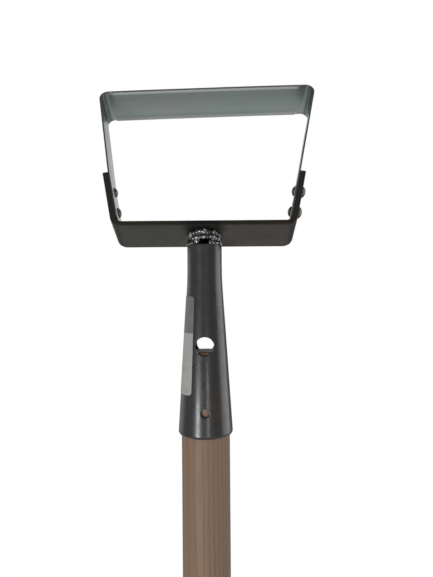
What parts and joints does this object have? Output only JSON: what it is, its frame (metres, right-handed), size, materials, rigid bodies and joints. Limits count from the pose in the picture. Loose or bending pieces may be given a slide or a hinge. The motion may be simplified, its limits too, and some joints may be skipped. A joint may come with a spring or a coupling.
{
  "type": "scraper hoe",
  "caption": "Long-handled scraper hoe: a trapezoid loop of flat spring steel riveted inside a bent bar, welded to a tapered socket on a round wooden handle.",
  "frame": {"origin": "centre of the socket's mouth, on the handle's axis", "axes": "+Z along the handle towards the head, +Y the way the loop leans back, +X to the right of someone who faces the front, the side with the nail hole"},
  "size_m": [0.139, 0.0723, 1.4688],
  "materials": {
    "handle_wood": "fine straight grain, brown, dull with age",
    "lacquered_steel": "glossy dark gunmetal lacquer",
    "bar_steel": "satin black with an olive tone, thin lacquer over scale",
    "weld_steel": "lumpy weld under black lacquer, sooty round the edge",
    "spring_steel": "bare spring steel, grey-blue with faint heat tint, ground edges",
    "rivet_steel": "dark hammered steel",
    "label_film": "plain grey film, blank"
  },
  "bodies": {
    "root": {"handle": "handle_wood", "socket": "lacquered_steel", "bracket": "bar_steel", "weld_bead": "weld_steel", "blade": "spring_steel", "rivet_left_lower": "rivet_steel", "rivet_left_upper": "rivet_steel", "rivet_right_lower": "rivet_steel", "rivet_right_upper": "rivet_steel", "label": "label_film"}
  },
  "joints": []
}
